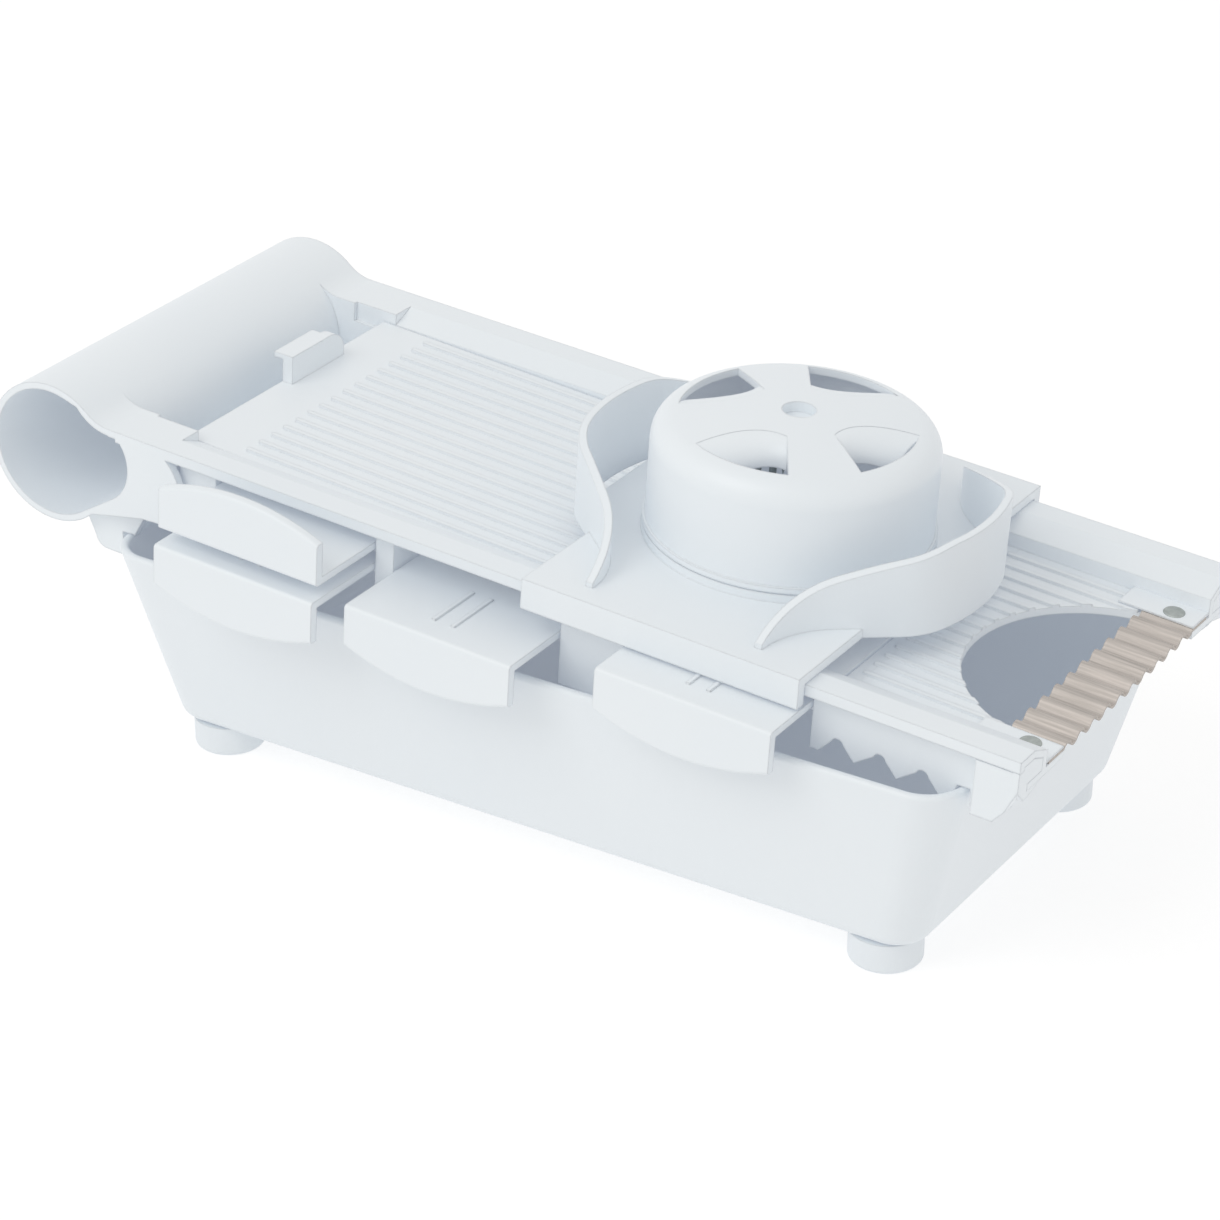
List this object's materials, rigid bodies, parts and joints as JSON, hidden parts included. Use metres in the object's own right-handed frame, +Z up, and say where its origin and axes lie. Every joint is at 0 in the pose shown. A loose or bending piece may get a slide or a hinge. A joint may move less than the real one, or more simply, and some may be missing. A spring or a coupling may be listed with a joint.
{
  "type": "mandoline slicer",
  "caption": "White kitchen mandoline on a deep catch tub: ribbed board with tube handle, sliding food guard with pusher cap, drawer-like blade inserts and a crinkle blade.",
  "frame": {"origin": "on the table, at the middle of the four tub feet", "axes": "+X along the tub towards the blade end, +Y to the closed side (away from the drawn inserts), +Z up"},
  "size_m": [0.3231, 0.1549, 0.1247],
  "materials": {
    "white_plastic": "semi-gloss moulded",
    "foot_plastic": "satin moulded",
    "steel": "brushed"
  },
  "bodies": {
    "tub": {"tub": "white_plastic", "tub_feet": "foot_plastic"},
    "board": {"board": "white_plastic", "crinkle_blade": "steel", "crinkle_rivets": "steel"},
    "runway": {"runway_plate": "white_plastic"},
    "guard": {"guard_sled": "white_plastic"},
    "pusher": {"pusher_cap": "white_plastic", "grip_pins": "steel"},
    "slicing_insert": {"slicing_frame": "white_plastic", "slicing_blade": "steel", "slicing_rivets": "steel"},
    "julienne_insert": {"julienne_frame": "white_plastic", "julienne_blade": "steel", "julienne_comb": "steel", "julienne_rivets": "steel"},
    "coarse_insert": {"coarse_grater_frame": "white_plastic", "coarse_grater_plate": "steel", "coarse_grater_rivets": "steel"},
    "fine_insert": {"fine_grater_frame": "white_plastic", "fine_grater_plate": "steel", "fine_grater_rivets": "steel"}
  },
  "joints": [
    {"name": "board_lift", "type": "slide", "parent": "tub", "child": "board", "axis": [0, 0, 1], "range_m": [0, 0.05]},
    {"name": "runway_slide", "type": "slide", "parent": "board", "child": "runway", "axis": [-0.996, 0, -0.0896], "range_m": [0, 0.005]},
    {"name": "guard_slide", "type": "slide", "parent": "board", "child": "guard", "axis": [0.9977, 0, -0.0673], "range_m": [-0.098, 0.05]},
    {"name": "pusher_lift", "type": "slide", "parent": "guard", "child": "pusher", "axis": [0.0673, 0, 0.9977], "range_m": [0, 0.045]},
    {"name": "slicing_insert_slide", "type": "slide", "parent": "board", "child": "slicing_insert", "axis": [0, -1, 0], "range_m": [0, 0.112]},
    {"name": "julienne_insert_slide", "type": "slide", "parent": "board", "child": "julienne_insert", "axis": [0, -1, 0], "range_m": [-0.006, 0.112]},
    {"name": "coarse_insert_slide", "type": "slide", "parent": "board", "child": "coarse_insert", "axis": [0, -1, 0], "range_m": [-0.008, 0.112]},
    {"name": "fine_insert_slide", "type": "slide", "parent": "board", "child": "fine_insert", "axis": [0, -1, 0], "range_m": [-0.003, 0.112]}
  ]
}
